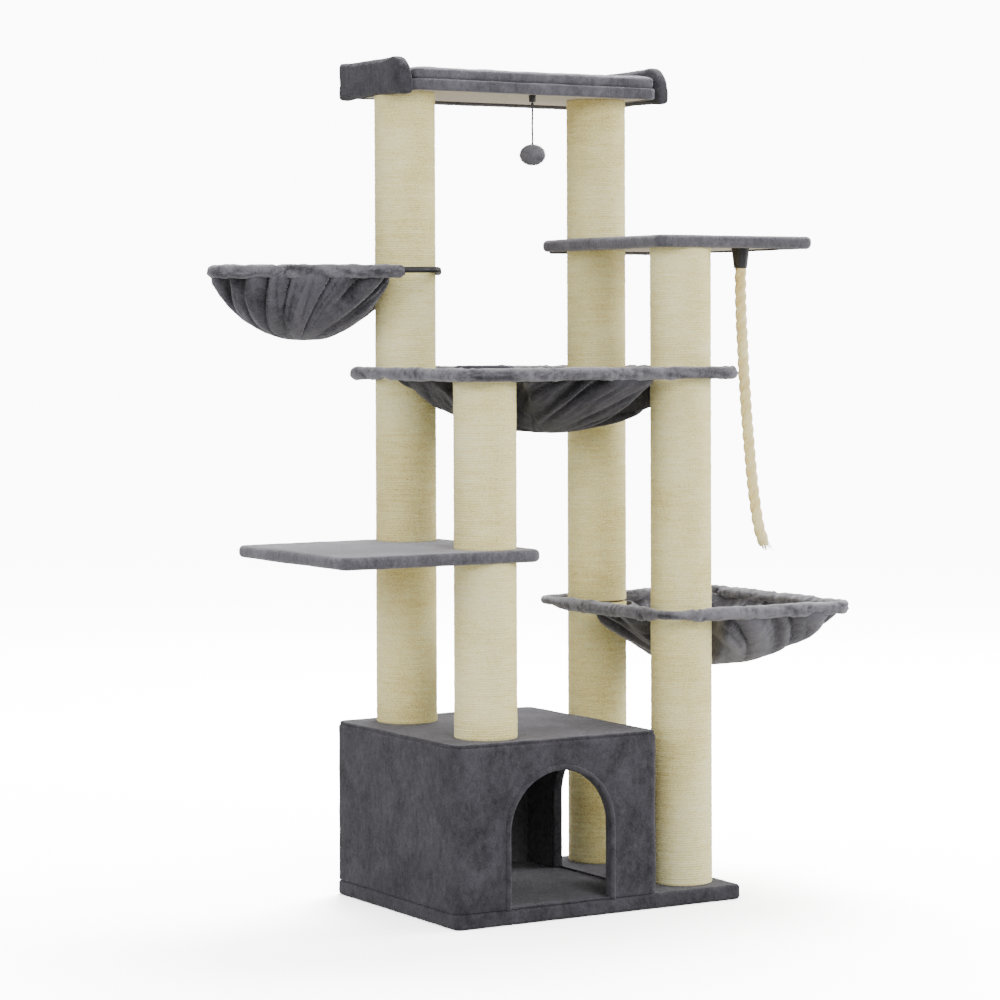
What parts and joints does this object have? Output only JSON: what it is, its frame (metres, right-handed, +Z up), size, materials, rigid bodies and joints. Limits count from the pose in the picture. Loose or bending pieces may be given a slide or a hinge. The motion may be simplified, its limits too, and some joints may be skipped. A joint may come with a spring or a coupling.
{
  "type": "cat tree",
  "caption": "Tall free-standing cat tree: plush base with an arched house, sisal-wound posts, platforms, sling beds, a hanging rope and a pompom toy.",
  "frame": {"origin": "middle of the base's footprint, on the floor", "axes": "+X along the base's long side towards the end without the house, +Y to the back, +Z up along the posts"},
  "size_m": [1.2263, 0.7279, 1.6853],
  "materials": {
    "backing": "black non-woven",
    "black_plastic": "moulded",
    "black_steel": "powder coated",
    "cardboard": "spiral-wound tube",
    "chipboard": "bare chipboard",
    "cord": "elastic cord",
    "house_lining": "dark felt glued to chipboard",
    "lining": "thin cream lining",
    "plug_wood": "plain",
    "plush": "short-pile plush",
    "rope": "three-strand sisal rope",
    "sisal": "wound sisal cord",
    "steel": "zinc plated"
  },
  "bodies": {
    "tree": {"base_board": "chipboard", "base_cover": "plush", "base_backing": "backing", "base_bolts": "steel", "house_front_panel": "house_lining", "house_back_panel": "house_lining", "house_left_panel": "house_lining", "house_right_panel": "house_lining", "house_roof_panel": "house_lining", "house_wall_cover": "plush", "house_roof_cover": "plush", "house_door_trim": "plush", "house_side_trim": "plush", "house_screws": "steel", "house_roof_bolts": "steel", "post_a_sisal_1": "sisal", "post_a_sisal_2": "sisal", "post_a_sisal_3": "sisal", "post_a_sisal_4": "sisal", "post_b_sisal_1": "sisal", "post_b_sisal_2": "sisal", "post_c_sisal_1": "sisal", "post_c_sisal_2": "sisal", "post_c_sisal_3": "sisal", "post_c_sisal_4": "sisal", "post_d_sisal_1": "sisal", "post_d_sisal_2": "sisal", "post_d_sisal_3": "sisal", "post_a_tubes": "cardboard", "post_b_tubes": "cardboard", "post_c_tubes": "cardboard", "post_d_tubes": "cardboard", "post_plugs": "plug_wood", "post_studs": "steel", "post_b_cap": "plush", "left_platform_board": "lining", "left_platform_cover": "plush", "right_platform_board": "lining", "right_platform_cover": "plush", "top_platform_board": "lining", "top_platform_cover": "plush", "left_bolster": "plush", "right_bolster": "plush", "mid_sling_frame": "black_steel", "mid_sling_sleeve": "plush", "mid_sling_cloth": "plush", "low_sling_frame": "black_steel", "low_sling_sleeve": "plush", "low_sling_cloth": "plush", "high_sling_frame": "black_steel", "high_sling_sleeve": "plush", "high_sling_cloth": "plush", "toy_clip": "black_plastic", "rope_socket": "black_plastic", "rope_stub": "rope"},
    "toy_turn": {"toy_knot": "black_plastic"},
    "toy": {"toy_cord": "cord", "toy_ball": "plush"},
    "rope": {"rope": "rope"},
    "mat": {"top_mat": "plush"}
  },
  "joints": [
    {"name": "toy_twist", "type": "hinge", "parent": "tree", "child": "toy_turn", "pos_m": [0.047, 0.09, 1.5974], "axis": [0, 0, 1], "continuous": true},
    {"name": "toy_swing", "type": "hinge", "parent": "toy_turn", "child": "toy", "pos_m": [0.047, 0.09, 1.5974], "axis": [0, 1, 0], "range_deg": [-60, 60]},
    {"name": "rope_swing", "type": "hinge", "parent": "tree", "child": "rope", "pos_m": [0.393, -0.15, 1.2502], "axis": [1, 0, 0], "range_deg": [-35, 35]},
    {"name": "mat_lift", "type": "slide", "parent": "tree", "child": "mat", "axis": [0, 0, 1], "range_m": [0, 0.12]}
  ]
}
